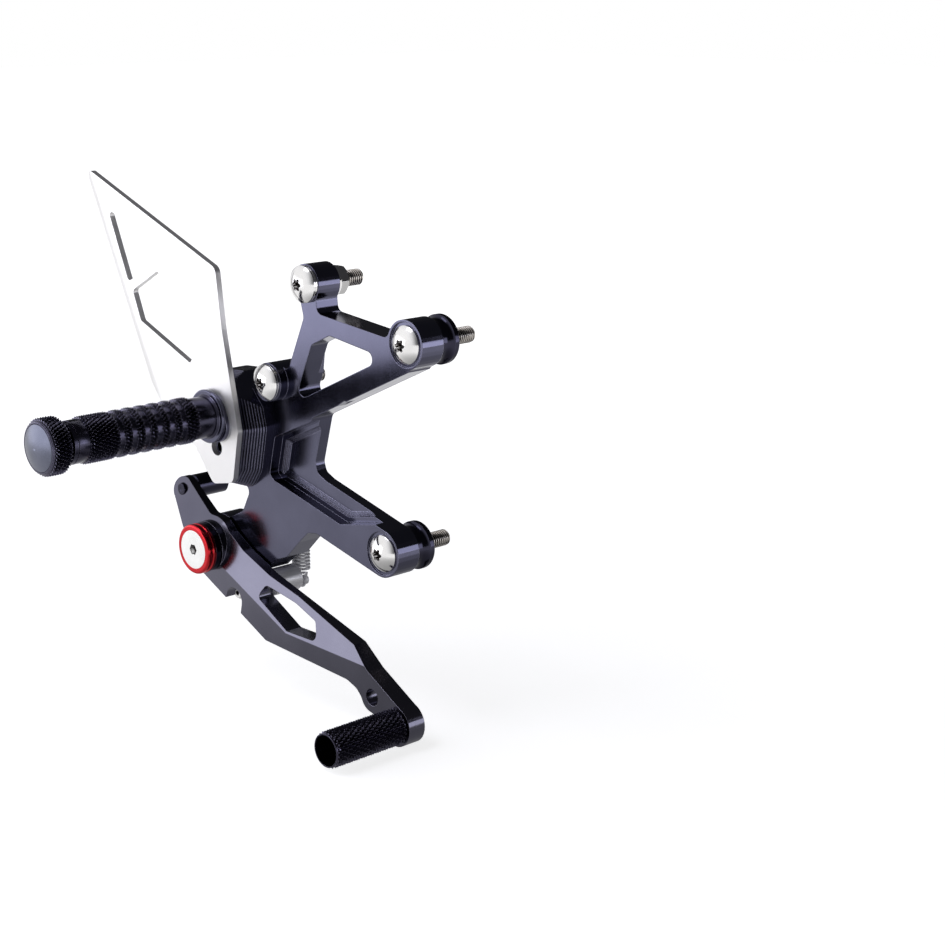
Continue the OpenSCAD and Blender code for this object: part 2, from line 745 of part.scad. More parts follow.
module rod_trunnion() color(black) difference() {
    pin_solid(rod, lever_z - side_play - trunnion_len, lever_z - side_play, trunnion_d, 1.4);
    rod_solid(rod, lever_z - trunnion_len - 2, lever_z + 1, pin_d + running_clear);
}

module stop_pin() color(steel) pin_solid(pivot + stop_at, lever_z - 16.5, lever_z + 2.8, stop_d, 0.4);

// Button-head screw that stands in the notch of the lever
module height_screw() color(steel) at(pivot + screw_at, lever_z) difference() {
    union() {
        translate([0, 0, -3]) cylinder(d = screw_d, h = 7);
        translate([0, 0, 2.4]) cylinder(d = 6.6, h = 2.8);
        translate([0, 0, 5.2 - eps]) cylinder(d1 = 6.6, d2 = 5.2, h = 1.3);
    }
    translate([0, 0, 3.4]) cylinder(d = 2.5 / cos(30), h = 4, $fn = 6);
}

module spring_stud() color(steel) difference() {
    pin_solid(pivot + stud_at, spring_z - 3.4, lever_z + 5, stud_d);
    at(pivot + stud_at, spring_z) rotate_extrude() translate([stud_d / 2 + 0.3, 0]) circle(d = wire_d + 0.6);
}

module spring_post() color(steel) difference() {
    pin_solid(pivot + post_at, spring_z - 3.4, spacer_len + 8, stud_d);
    at(pivot + post_at, spring_z) rotate_extrude() translate([stud_d / 2 + 0.3, 0]) circle(d = wire_d + 0.6);
}

// Path of the spring wire: a hook, the close coil and the other hook, for the sweep below
function hook_arc(c, from, to) = [for (a = [from : sign(to - from) * 24 : to])
    [c.x + hook_r * cos(a), c.y + hook_r * sin(a), spring_z]];
spring_path = concat(
    hook_arc(pivot + stud_at, -hook_turn, 0),
    [for (i = [0 : 20 * coil_turns]) [
        pivot_x + post_at.x + coil_d / 2 * cos(18 * i),
        pivot_y + coil_low + coil_pitch * i / 20,
        spring_z + coil_d / 2 * sin(18 * i)
    ]],
    hook_arc(pivot + post_at, 0, hook_turn)
);

function unit(v) = v / norm(v);
function tangent(p, i) = unit(p[min(i + 1, len(p) - 1)] - p[max(i - 1, 0)]);
function square_to(v, t) = unit(v - (v * t) * t);
// Carries one side direction along the path, so that the wire does not twist
function carried(p, i, n, out) = i == len(p) ? out
    : let (m = square_to(n, tangent(p, i))) carried(p, i + 1, m, concat(out, [m]));

module wire(path, d, sides = 8) {
    n = len(path);
    side = carried(path, 0, [0, 0, 1], []);
    points = [for (i = [0 : n - 1], k = [0 : sides - 1])
        let (t = tangent(path, i), a = k * 360 / sides)
        path[i] + d / 2 * (cos(a) * side[i] + sin(a) * cross(t, side[i]))];
    walls = [for (i = [0 : n - 2], k = [0 : sides - 1])
        let (j = (k + 1) % sides)
        [i * sides + k, (i + 1) * sides + k, (i + 1) * sides + j, i * sides + j]];
    caps = [[for (k = [0 : sides - 1]) k], [for (k = [sides - 1 : -1 : 0]) (n - 1) * sides + k]];
    polyhedron(points, concat(walls, caps));
}

module return_spring() color(bright) wire(spring_path, wire_d);

build() bracket();
build() bolt_upper();
build() washer_upper();
build() nut_upper();
build() bolt_middle();
build() washer_middle();
build() bolt_front();
build() spacer_front();
build() bolt_lower();
build() spacer_lower();
build() heel_guard();
build() peg_mount();
build() footpeg_sleeve();
build() footpeg_cap();
build() footpeg_end_disc();
build() peg_bolt();
build() pivot_bolt();
build() pivot_ring();
build() hub_washer();
build() pivot_bush();
build() thrust_washer();
build() brake_lever();
build() toe_peg();
build() toe_peg_bolt();
build() rod_pin();
build() rod_trunnion();
build() stop_pin();
build() height_screw();
build() spring_stud();
build() spring_post();
build() return_spring();
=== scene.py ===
import math

import bmesh
import bpy
from mathutils import Matrix, Vector


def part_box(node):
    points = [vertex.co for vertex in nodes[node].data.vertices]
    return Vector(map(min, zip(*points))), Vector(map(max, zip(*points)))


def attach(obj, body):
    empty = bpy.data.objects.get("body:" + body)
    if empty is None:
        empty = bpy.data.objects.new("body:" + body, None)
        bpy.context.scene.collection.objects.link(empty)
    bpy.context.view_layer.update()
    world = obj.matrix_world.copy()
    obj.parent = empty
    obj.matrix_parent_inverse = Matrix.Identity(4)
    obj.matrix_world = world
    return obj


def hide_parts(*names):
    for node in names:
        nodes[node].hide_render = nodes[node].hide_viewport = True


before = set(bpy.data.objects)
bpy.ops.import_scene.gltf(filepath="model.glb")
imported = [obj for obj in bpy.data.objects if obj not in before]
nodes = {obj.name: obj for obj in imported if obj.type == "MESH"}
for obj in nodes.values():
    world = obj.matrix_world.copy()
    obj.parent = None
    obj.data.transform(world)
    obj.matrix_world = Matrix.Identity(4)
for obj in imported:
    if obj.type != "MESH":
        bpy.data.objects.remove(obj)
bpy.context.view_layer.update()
mm = 0.001
print("frame loaded:", len(nodes), "nodes")


# Camera at the photograph's place, whose image is 945 by 945 pixels
cameraView = {
    "place": (0.64674, -0.61410, 0.16138),  # metres
    "azimuth": 44.96,  # degrees
    "elevation": 14.12,
    "lens": 75.76,  # mm
    "sensor": 36,  # mm
    "shiftX": -0.0239,
    "shiftY": 0.0002,
    "clip": (0.05, 20),  # metres
}


def makeCamera(view):
    azimuth, elevation = math.radians(view["azimuth"]), math.radians(view["elevation"])
    back = Vector((
        math.sin(azimuth) * math.cos(elevation),
        -math.cos(azimuth) * math.cos(elevation),
        math.sin(elevation),
    ))
    data = bpy.data.cameras.new("camera")
    data.lens, data.sensor_width = view["lens"], view["sensor"]
    data.shift_x, data.shift_y = view["shiftX"], view["shiftY"]
    data.clip_start, data.clip_end = view["clip"]
    camera = bpy.data.objects.new("camera", data)
    camera.rotation_mode = "QUATERNION"
    camera.location = view["place"]
    camera.rotation_quaternion = (-back).to_track_quat("-Z", "Y")
    bpy.context.scene.collection.objects.link(camera)
    bpy.context.scene.camera = camera


makeCamera(cameraView)


# Helpers for node trees
def addNode(tree, kind, inputs=None, **settings):
    node = tree.nodes.new(kind)
    for name, value in settings.items():
        setattr(node, name, value)
    for name, value in (inputs or {}).items():
        if isinstance(value, bpy.types.NodeSocket):
            tree.links.new(value, node.inputs[name])
        else:
            node.inputs[name].default_value = value
    return node


def newGroup(name, inputs, outputs):
    tree = bpy.data.node_groups.new(name, "ShaderNodeTree")
    for label, kind, value in inputs:
        socket = tree.interface.new_socket(label, in_out="INPUT", socket_type=kind)
        socket.default_value = value
    for label, kind in outputs:
        tree.interface.new_socket(label, in_out="OUTPUT", socket_type=kind)
    return tree, tree.nodes.new("NodeGroupInput"), tree.nodes.new("NodeGroupOutput")


shading = {
    "bevelSamples": 6,
    "hollowSamples": 8,
    "detail": 3.0,
    "lineRoughness": 0.6,
    "patchRoughness": 0.55,
    "bumpDistance": 0.0002,  # metres
    "spread": (0.3, 0.7),  # where most of a noise lies
    "streak": 0.03,
    "edge": 0.0003,  # metres
    "edgeGain": 3.0,
}


def buildToolMarksGroup():
    # Fine cutter lines, stretched along one direction, over a softer mottle
    tree, given, result = newGroup(
        "toolMarks",
        [
            ("Stretch", "NodeSocketVector", (1, 1, 1)),
            ("Scale", "NodeSocketFloat", 400),
            ("Mottle", "NodeSocketFloat", 60),
            ("Depth", "NodeSocketFloat", 0.1),
            ("Edge", "NodeSocketFloat", 0.0003),
        ],
        [("Lines", "NodeSocketFloat"), ("Patch", "NodeSocketFloat"), ("Normal", "NodeSocketVector")],
    )
    place = addNode(tree, "ShaderNodeTexCoord")
    stretched = addNode(tree, "ShaderNodeVectorMath", {
        0: place.outputs["Object"], 1: given.outputs["Stretch"],
    }, operation="MULTIPLY")
    lines = addNode(tree, "ShaderNodeTexNoise", {
        "Vector": stretched.outputs[0], "Scale": given.outputs["Scale"],
        "Detail": shading["detail"], "Roughness": shading["lineRoughness"],
    })
    patch = addNode(tree, "ShaderNodeTexNoise", {
        "Vector": place.outputs["Object"], "Scale": given.outputs["Mottle"],
        "Detail": shading["detail"], "Roughness": shading["patchRoughness"],
    })
    edge = addNode(tree, "ShaderNodeBevel", {"Radius": given.outputs["Edge"]}, samples=shading["bevelSamples"])
    bump = addNode(tree, "ShaderNodeBump", {
        "Height": lines.outputs["Fac"], "Strength": given.outputs["Depth"],
        "Distance": shading["bumpDistance"], "Normal": edge.outputs["Normal"],
    })
    tree.links.new(lines.outputs["Fac"], result.inputs["Lines"])
    tree.links.new(patch.outputs["Fac"], result.inputs["Patch"])
    tree.links.new(bump.outputs["Normal"], result.inputs["Normal"])
    return tree


def buildEdgeGroup():
    # Mask that is 1 on sharp edges and 0 on flat stretches, where the colour takes a painted highlight that is partly
    # edge wear
    tree, given, result = newGroup(
        "edgeShine",
        [("Radius", "NodeSocketFloat", 0.0004), ("Gain", "NodeSocketFloat", 4.0)],
        [("Mask", "NodeSocketFloat")],
    )
    rounded = addNode(tree, "ShaderNodeBevel", {"Radius": given.outputs["Radius"]}, samples=shading["bevelSamples"])
    flat = addNode(tree, "ShaderNodeNewGeometry")
    same = addNode(tree, "ShaderNodeVectorMath", {
        0: rounded.outputs["Normal"], 1: flat.outputs["Normal"],
    }, operation="DOT_PRODUCT")
    apart = addNode(tree, "ShaderNodeMath", {0: 1.0, 1: same.outputs["Value"]}, operation="SUBTRACT")
    mask = addNode(tree, "ShaderNodeMath", {
        0: apart.outputs[0], 1: given.outputs["Gain"],
    }, operation="MULTIPLY", use_clamp=True)
    tree.links.new(mask.outputs[0], result.inputs["Mask"])
    return tree


def buildRecessGroup():
    # Mask that is 1 deep in sockets, thread roots and spring gaps, where the colour takes a painted shade
    tree, given, result = newGroup(
        "recessShade",
        [("Reach", "NodeSocketFloat", 0.002), ("From", "NodeSocketFloat", 0.75), ("To", "NodeSocketFloat", 0.35)],
        [("Mask", "NodeSocketFloat")],
    )
    hollow = addNode(tree, "ShaderNodeAmbientOcclusion", {
        "Distance": given.outputs["Reach"],
    }, samples=shading["hollowSamples"], only_local=True)
    mask = addNode(tree, "ShaderNodeMapRange", {
        "Value": hollow.outputs["AO"], "From Min": given.outputs["From"], "From Max": given.outputs["To"],
    }, interpolation_type="SMOOTHSTEP")
    tree.links.new(mask.outputs["Result"], result.inputs["Mask"])
    return tree


toolMarks = buildToolMarksGroup()
edgeShine = buildEdgeGroup()
recessShade = buildRecessGroup()


def grade(tree, value, low, high):
    start, end = shading["spread"]
    return addNode(tree, "ShaderNodeMapRange", {
        "Value": value, "From Min": start, "From Max": end, "To Min": low, "To Max": high,
    }).outputs["Result"]


# The colour sockets of a Mix node set to RGBA
mixFirst, mixSecond, mixResult = 6, 7, 2


def mixColors(tree, share, first, second):
    return addNode(tree, "ShaderNodeMix", {
        "Factor": share, mixFirst: first, mixSecond: second,
    }, data_type="RGBA").outputs[mixResult]


def metalMaterial(name, look):
    material = bpy.data.materials.new(name)
    material.use_nodes = True
    tree = material.node_tree
    tree.nodes.clear()
    marks = addNode(tree, "ShaderNodeGroup", node_tree=toolMarks)
    for label in ("Stretch", "Scale", "Mottle", "Depth", "Edge"):
        if label.lower() in look:
            marks.inputs[label].default_value = look[label.lower()]
    shine = addNode(tree, "ShaderNodeGroup", node_tree=edgeShine)
    shine.inputs["Radius"].default_value = look.get("edgeWidth", look.get("edge", shading["edge"]))
    shine.inputs["Gain"].default_value = look.get("edgeGain", shading["edgeGain"])
    color = mixColors(tree, grade(tree, marks.outputs["Patch"], 0.0, 1.0), look["dark"], look["light"])
    # Painted highlight, partly edge wear: sharp edges and knurl peaks are lightened towards the lighter edge colour
    color = mixColors(tree, shine.outputs["Mask"], color, look["edgeWearAndHighlight"])
    # Painted shade: past a line along the given direction the colour darkens to the given share, which darkens the
    # lever's arm
    if "shade" in look:
        direction, start, end, share = look["shade"]
        place = addNode(tree, "ShaderNodeTexCoord")
        along = addNode(tree, "ShaderNodeVectorMath", {
            0: place.outputs["Object"], 1: direction,
        }, operation="DOT_PRODUCT")
        level = addNode(tree, "ShaderNodeMapRange", {
            "Value": along.outputs["Value"], "From Min": start, "From Max": end, "To Min": 1.0, "To Max": share,
        })
        color = mixColors(tree, level.outputs["Result"], (0, 0, 0, 1), color)
    # Painted shade: the colour darkens towards the deep colour where ambient occlusion finds a hollow
    if "recess" in look:
        hollow = addNode(tree, "ShaderNodeGroup", node_tree=recessShade)
        for label, value in zip(("Reach", "From", "To"), look["recess"]):
            hollow.inputs[label].default_value = value
        color = mixColors(tree, hollow.outputs["Mask"], color, look["deep"])
    streak = look.get("streak", shading["streak"])
    rough = addNode(tree, "ShaderNodeMath", {
        0: grade(tree, marks.outputs["Patch"], look["smooth"], look["rough"]),
        1: grade(tree, marks.outputs["Lines"], -streak, streak),
    }, operation="ADD", use_clamp=True)
    shader = addNode(tree, "ShaderNodeBsdfPrincipled", {
        "Base Color": color, "Roughness": rough.outputs[0], "Normal": marks.outputs["Normal"],
        "Metallic": look.get("metallic", 1.0),
    })
    output = tree.nodes.new("ShaderNodeOutputMaterial")
    tree.links.new(shader.outputs[0], output.inputs["Surface"])
    return material


# edge and edgeWidth are metres, recess is the painted shade in hollows as (reach in metres, from, to), and shade
# is a painted shade as (direction, start and end along it in metres, share of the colour left past the end)
finishes = {
    "blackMilled": {
        "dark": (0.096, 0.096, 0.142, 1), "light": (0.116, 0.116, 0.170, 1), "edgeWearAndHighlight": (0.42, 0.41, 0.55, 1),
        "smooth": 0.14, "rough": 0.19, "streak": 0.012, "stretch": (1, 1, 0.06), "scale": 2200, "mottle": 45,
        "depth": 0.012, "edge": 0.0005, "edgeWidth": 0.00025, "edgeGain": 3.0,
    },
    "blackLever": {
        "dark": (0.126, 0.123, 0.160, 1), "light": (0.146, 0.143, 0.184, 1), "edgeWearAndHighlight": (0.42, 0.41, 0.53, 1),
        "smooth": 0.16, "rough": 0.22, "streak": 0.02, "stretch": (0.06, 1, 1), "scale": 1800, "mottle": 50,
        "depth": 0.03, "edge": 0.0003, "edgeGain": 2.0, "shade": ((-0.707, 0, 0.707), 0.0160, 0.0175, 0.42),
    },
    "blackTurned": {
        "dark": (0.030, 0.029, 0.046, 1), "light": (0.042, 0.041, 0.064, 1), "edgeWearAndHighlight": (0.14, 0.135, 0.20, 1),
        "smooth": 0.12, "rough": 0.18, "streak": 0.02, "stretch": (0.1, 1, 0.1), "scale": 1800, "mottle": 80,
        "depth": 0.03, "edge": 0.0003,
    },
    "blackKnurled": {
        "dark": (0.050, 0.048, 0.074, 1), "light": (0.070, 0.067, 0.102, 1), "edgeWearAndHighlight": (0.44, 0.42, 0.58, 1),
        "smooth": 0.18, "rough": 0.26, "streak": 0.03, "scale": 1500, "mottle": 200, "depth": 0.03,
        "edge": 0.00005, "edgeWidth": 0.00022, "edgeGain": 3.0,
        "recess": (0.0012, 0.72, 0.38), "deep": (0.012, 0.011, 0.018, 1),
    },
    "brightSteel": {
        "dark": (0.80, 0.79, 0.79, 1), "light": (0.90, 0.89, 0.89, 1), "edgeWearAndHighlight": (0.95, 0.94, 0.94, 1),
        "smooth": 0.10, "rough": 0.17, "streak": 0.03, "stretch": (1, 0.05, 1), "scale": 1400, "mottle": 120,
        "depth": 0.02, "edge": 0.0002, "recess": (0.0025, 0.72, 0.40), "deep": (0.035, 0.022, 0.018, 1),
    },
    "threadSteel": {
        "dark": (0.56, 0.52, 0.48, 1), "light": (0.78, 0.75, 0.71, 1), "edgeWearAndHighlight": (0.90, 0.88, 0.85, 1),
        "smooth": 0.16, "rough": 0.28, "streak": 0.04, "scale": 1400, "mottle": 300, "depth": 0.04, "edge": 0.0001,
        "recess": (0.0010, 0.92, 0.60), "deep": (0.055, 0.038, 0.030, 1),
    },
    "brushedSheet": {
        "dark": (0.90, 0.885, 0.875, 1), "light": (0.95, 0.938, 0.930, 1), "edgeWearAndHighlight": (0.95, 0.94, 0.95, 1),
        "smooth": 0.34, "rough": 0.44, "streak": 0.05, "stretch": (1.2, 1, 0.05), "scale": 900, "mottle": 25,
        "depth": 0.06, "edge": 0.0002, "metallic": 0.6,
    },
    "redAnodised": {
        "dark": (0.52, 0.018, 0.026, 1), "light": (0.70, 0.034, 0.045, 1), "edgeWearAndHighlight": (0.95, 0.32, 0.31, 1),
        "smooth": 0.14, "rough": 0.22, "streak": 0.02, "stretch": (1, 0.1, 1), "scale": 1400, "mottle": 100,
        "depth": 0.03, "edge": 0.0003,
    },
    "polishedDisc": {
        "dark": (0.90, 0.90, 0.90, 1), "light": (0.97, 0.97, 0.97, 1), "edgeWearAndHighlight": (0.98, 0.98, 0.98, 1),
        "smooth": 0.24, "rough": 0.34, "streak": 0.03, "stretch": (1, 0.1, 1), "scale": 1400, "mottle": 90,
        "depth": 0.03, "edge": 0.0002, "recess": (0.0025, 0.75, 0.45), "deep": (0.045, 0.035, 0.030, 1),
    },
    "darkDisc": {
        "dark": (0.105, 0.112, 0.150, 1), "light": (0.150, 0.158, 0.208, 1), "edgeWearAndHighlight": (0.5, 0.5, 0.62, 1),
        "smooth": 0.26, "rough": 0.34, "streak": 0.03, "scale": 1500, "mottle": 90, "depth": 0.04, "edge": 0.0003,
        "edgeGain": 0.0,
    },
    "zincPlated": {
        "dark": (0.88, 0.88, 0.90, 1), "light": (0.96, 0.96, 0.98, 1), "edgeWearAndHighlight": (0.98, 0.98, 0.98, 1),
        "smooth": 0.30, "rough": 0.42, "streak": 0.03, "scale": 1000, "mottle": 150, "depth": 0.04, "edge": 0.0002,
        "recess": (0.002, 0.60, 0.25), "deep": (0.10, 0.095, 0.10, 1), "metallic": 0.3,
    },
    "bearingBronze": {
        "dark": (0.42, 0.26, 0.10, 1), "light": (0.58, 0.38, 0.17, 1), "edgeWearAndHighlight": (0.75, 0.55, 0.30, 1),
        "smooth": 0.24, "rough": 0.38, "scale": 900, "mottle": 150, "depth": 0.08, "edge": 0.0002,
    },
}
materials = {name: metalMaterial(name, look) for name, look in finishes.items()}
print("materials made:", len(materials))

nodeFinish = {
    "blackMilled": "bracket peg_mount",
    "blackLever": "brake_lever",
    "blackTurned": "spacer_front spacer_lower hub_washer rod_trunnion",
    "brightSteel": "washer_upper nut_upper washer_middle peg_bolt toe_peg_bolt height_screw thrust_washer",
    "brushedSheet": "heel_guard",
    "redAnodised": "pivot_ring",
    "polishedDisc": "pivot_bolt",
    "darkDisc": "footpeg_end_disc",
    "zincPlated": "spring_stud spring_post return_spring",
    "bearingBronze": "pivot_bush",
}


def setMaterial(piece, name):
    piece.data.materials.clear()
    piece.data.materials.append(materials[name])


for finish, names in nodeFinish.items():
    for name in names.split():
        setMaterial(nodes[name], finish)


# A bmesh is drawn upright along Z and then laid outboard, along -Y, at a node's own axis
layOutboard = Matrix.Rotation(math.pi / 2, 4, "X")
layInboard = Matrix.Rotation(-math.pi / 2, 4, "X")


def axisPlace(name):
    low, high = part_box(name)
    return Matrix.Translation(((low[0] + high[0]) / 2, high[1], (low[2] + high[2]) / 2)) @ layOutboard


# Edges sharper than these angles, in degrees, stay sharp
smoothAngles = {"knurled": 25, "turned": 35, "bolt": 30}


def finishPiece(mesh, name, place, finish, body, smoothAngle):
    bmesh.ops.transform(mesh, matrix=place, verts=mesh.verts)
    bmesh.ops.recalc_face_normals(mesh, faces=mesh.faces)
    limit = math.radians(smoothAngle)
    for face in mesh.faces:
        face.smooth = True
    for edge in mesh.edges:
        edge.smooth = not (edge.is_manifold and edge.calc_face_angle(0) > limit)
    data = bpy.data.meshes.new(name)
    mesh.to_mesh(data)
    mesh.free()
    piece = bpy.data.objects.new(name, data)
    bpy.context.scene.collection.objects.link(piece)
    setMaterial(piece, finish)
    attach(piece, body)
    return piece


# Rings are extruded one after another. A ring is (radius, height) or, on a knurl, (peak, valley, height, shift)
def ringWalk(mesh, segments, rings):
    radius, height = rings[0]
    lift = Matrix.Translation((0, 0, height * mm))
    order = bmesh.ops.create_circle(mesh, segments=segments, radius=radius * mm, matrix=lift)["verts"]
    edges = list({edge for vert in order for edge in vert.link_edges})
    startEdges = edges
    for ring in rings[1:]:
        step = bmesh.ops.extrude_edge_only(mesh, edges=edges)["geom"]
        fresh = {item for item in step if isinstance(item, bmesh.types.BMVert)}
        order = [
            next(edge.other_vert(vert) for edge in vert.link_edges if edge.other_vert(vert) in fresh)
            for vert in order
        ]
        edges = [item for item in step if isinstance(item, bmesh.types.BMEdge)]
        for index, vert in enumerate(order):
            if len(ring) == 2:
                reach, height = ring
            else:
                reach, height = ring[(index + ring[3]) % 2], ring[2]
            direction = Vector((vert.co.x, vert.co.y, 0)).normalized()
            vert.co = direction * reach * mm + Vector((0, 0, height * mm))
    return startEdges, edges


knurlEndDrop = 0.3  # mm that the teeth at a knurl's two ends stand lower


def knurlRings(peak, valley, start, end, rows):
    step = (end - start) / rows
    endPeak = peak - knurlEndDrop
    inner = [(peak, valley, start + step * (row + 0.5), row % 2) for row in range(rows)]
    return [(endPeak, valley, start, 1), *inner, (endPeak, valley, end, rows % 2)]


# Each quad is cut between its two valleys, which leaves a pyramid at every peak
def splitDiamonds(mesh):
    quads = [face for face in mesh.faces if len(face.verts) == 4]
    bmesh.ops.triangulate(mesh, faces=quads, quad_method="SHORT_EDGE")


footpeg = {
    "knurls": 38,  # peaks round the sleeve, and all lengths are mm
    "knurlDepth": 1.5,
    "rowStep": 2.0,
    "bandGap": 0.15,  # from a band's end to its first teeth
    "bandSpare": 0.4,  # of a band's length that its rows leave out
    "bandDrop": 0.1,  # that a band's end lies below its valleys
    "firstGroove": 7,  # from the start of the knurl
    "grooveCount": 6,
    "groovePitch": 7.1,
    "grooveWidth": 3.0,
    "grooveDepth": 1.6,
    "grooveLead": 0.35,
    "neckLength": 11.4,
    "neckRadius": 10.2,
    "neckFoot": 1,  # height and width of the chamfer at the neck's foot
    "neckEnd": 0.6,
    "sleeveRadius": 11.6,
    "plainRadius": 10.4,
    "plainLength": 11.6,
    "plainLead": 0.9,
    "lineShare": 0.55,  # of the plain length, where the turned line lies
    "lineDepth": 0.35,
    "lineRings": (0.1, 0.5, 0.6),
    "lipDrop": 0.1,  # that the plain end lies lower past the line
    "tipRings": (2.8, 2.3),  # from the outer end
    "tipDrop": 1.4,
    "boreRadius": 4.25,
}


def makeSleeve(peg):
    low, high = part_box("footpeg_sleeve")
    length = (high[1] - low[1]) / mm
    knurlStart = peg["neckLength"]
    knurlEnd = length - peg["plainLength"]
    top, valley = peg["sleeveRadius"], peg["sleeveRadius"] - peg["knurlDepth"]
    bandEnd, floor = valley - peg["bandDrop"], top - peg["grooveDepth"]
    bore, neck, foot = peg["boreRadius"], peg["neckRadius"], peg["neckFoot"]
    rings = [(bore, 0), (neck + foot, 0), (neck, foot), (neck, knurlStart - peg["neckEnd"])]
    spans = []
    start = knurlStart
    for index in range(peg["grooveCount"]):
        grooveStart = knurlStart + peg["firstGroove"] + index * peg["groovePitch"]
        spans.append((start, grooveStart))
        start = grooveStart + peg["grooveWidth"]
    spans.append((start, knurlEnd))
    gap, lead = peg["bandGap"], peg["grooveLead"]
    for number, (start, end) in enumerate(spans):
        rows = max(1, round((end - start - peg["bandSpare"]) / peg["rowStep"]))
        rings += [(bandEnd, start)]
        rings += knurlRings(top, valley, start + gap, end - gap, rows)
        rings += [(bandEnd, end)]
        if number < len(spans) - 1:
            rings += [(floor, end + lead), (floor, end + peg["grooveWidth"] - lead)]
    plain, line = peg["plainRadius"], knurlEnd + peg["plainLength"] * peg["lineShare"]
    lineIn, lineOut, lineEnd = (line + part for part in peg["lineRings"])
    lineRadius, lip, tip = plain - peg["lineDepth"], plain - peg["lipDrop"], plain - peg["tipDrop"]
    tipStart, tipEnd = (length - part for part in peg["tipRings"])
    rings += [
        (plain, knurlEnd + peg["plainLead"]), (plain, line), (lineRadius, lineIn), (lineRadius, lineOut),
        (lip, lineEnd), (lip, tipStart), (tip, tipEnd), (tip, length), (bore, length),
    ]
    mesh = bmesh.new()
    startEdges, endEdges = ringWalk(mesh, 2 * peg["knurls"], rings)
    bmesh.ops.bridge_loops(mesh, edges=startEdges + endEdges)
    splitDiamonds(mesh)
    piece = finishPiece(
        mesh, "knurledSleeve", axisPlace("footpeg_sleeve"), "blackKnurled", "bracket_unit",
        smoothAngles["knurled"],
    )
    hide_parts("footpeg_sleeve")


makeSleeve(footpeg)
print("sleeve made")

endCap = {
    "knurls": 44,  # peaks round the cap, and all lengths are mm
    "knurlDepth": 1.5,
    "rowStep": 2.0,
    "knurlGaps": (0.5, 0.25),  # before the first teeth and after the last
    "knurlSpare": 1.2,  # of the cap's length that its rows leave out
    "radius": 13.9,
    "backDrops": (0.5, 0.1),  # of the chamfer at the cap's back, below the valleys
    "backChamfer": 0.4,
    "ringRadius": 12.5,
    "ringStep": 0.4,
    "ringHeights": (0.15, 0.45, 0.75, 1.0, 1.2),  # past the knurl
    "discRadius": 11.12,
    "discChamfer": 0.25,
    "spigotRadius": 6.9,
    "spigotLength": 8,
    "capLength": 9.2,
    "recess": 1.8,
    "centre": 0.4,  # radius of the flat at both ends
}


def makeEndCap(cap):
    peak, valley = cap["radius"], cap["radius"] - cap["knurlDepth"]
    base = cap["spigotLength"]
    top = base + cap["capLength"]
    rows = round((cap["capLength"] - cap["knurlSpare"]) / cap["rowStep"])
    ring, step, disc, edge = cap["ringRadius"], cap["ringStep"], cap["discRadius"], cap["discChamfer"]
    heights = [top + height for height in cap["ringHeights"]]
    front = heights[-1]
    rings = [
        (cap["centre"], 0), (cap["spigotRadius"], 0), (cap["spigotRadius"], base),
        (valley - cap["backDrops"][0], base), (valley - cap["backDrops"][1], base + cap["backChamfer"]),
        *knurlRings(peak, valley, base + cap["knurlGaps"][0], top - cap["knurlGaps"][1], rows),
        (valley - cap["backDrops"][1], top), *zip((ring, ring, ring - step, ring - step, ring - 2 * step), heights),
        (disc + edge, front), (disc, front - edge), (disc, top - cap["recess"]), (cap["centre"], top - cap["recess"]),
    ]
    mesh = bmesh.new()
    startEdges, endEdges = ringWalk(mesh, 2 * cap["knurls"], rings)
    bmesh.ops.holes_fill(mesh, edges=startEdges)
    bmesh.ops.holes_fill(mesh, edges=endEdges)
    splitDiamonds(mesh)
    piece = finishPiece(
        mesh, "knurledCap", axisPlace("footpeg_cap"), "blackKnurled", "bracket_unit",
        smoothAngles["knurled"],
    )
    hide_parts("footpeg_cap")


makeEndCap(endCap)
print("end cap made")

toePeg = {
    "knurls": 24,  # peaks round the peg, and all lengths are mm
    "knurlDepth": 1.25,
    "rowStep": 2.1,
    "knurlGaps": (0.6, 0.9),  # before the first teeth and after the last
    "knurlSpare": 2.2,  # of the peg's length that its rows leave out
    "radius": 8.9,
    "length": 42.2,
    "wall": 1.6,
    "base": 6.2,
    "baseChamfer": (0.3, 0.4),
    "boltHole": 3.02,  # radius
    "rimHeights": (0.7, 0.15),  # from the mouth
    "rimRises": (0.35, 0.2),  # above the valleys, on the rim and at its edge
    "mouthChamfer": (0.1, 0.3),
}


def makeToePeg(toe):
    peak, valley = toe["radius"], toe["radius"] - toe["knurlDepth"]
    length, inner = toe["length"], toe["radius"] - toe["wall"]
    rows = round((length - toe["knurlSpare"]) / toe["rowStep"])
    rim, rimEdge = (valley + rise for rise in toe["rimRises"])
    rimStart, rimEnd = (length - height for height in toe["rimHeights"])
    chamferWidth, chamferHeight = toe["baseChamfer"]
    mouthWidth, mouthHeight = toe["mouthChamfer"]
    rings = [
        (toe["boltHole"], 0), (valley - chamferWidth, 0), (valley, chamferHeight),
        *knurlRings(peak, valley, toe["knurlGaps"][0], length - toe["knurlGaps"][1], rows),
        (rim, rimStart), (rim, rimEnd), (rimEdge, length), (inner + mouthWidth, length), (inner, length - mouthHeight),
        (inner, toe["base"]), (toe["boltHole"], toe["base"]),
    ]
    mesh = bmesh.new()
    startEdges, endEdges = ringWalk(mesh, 2 * toe["knurls"], rings)
    bmesh.ops.bridge_loops(mesh, edges=startEdges + endEdges)
    splitDiamonds(mesh)
    piece = finishPiece(
        mesh, "knurledToePeg", axisPlace("toe_peg"), "blackKnurled", "lever", smoothAngles["knurled"]
    )
    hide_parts("toe_peg")


makeToePeg(toePeg)
print("toe peg made")

stopBush = {
    "segments": 64,
    "radius": 6.7,
    "centre": (-0.1003, -0.1328),  # metres along X and Z
    "inboard": 8.3,  # mm from the frame's face to the bush and to the back of the lever
    "outboard": 24.55,
    "edge": 0.5,
    "boreClear": 0.02,
}


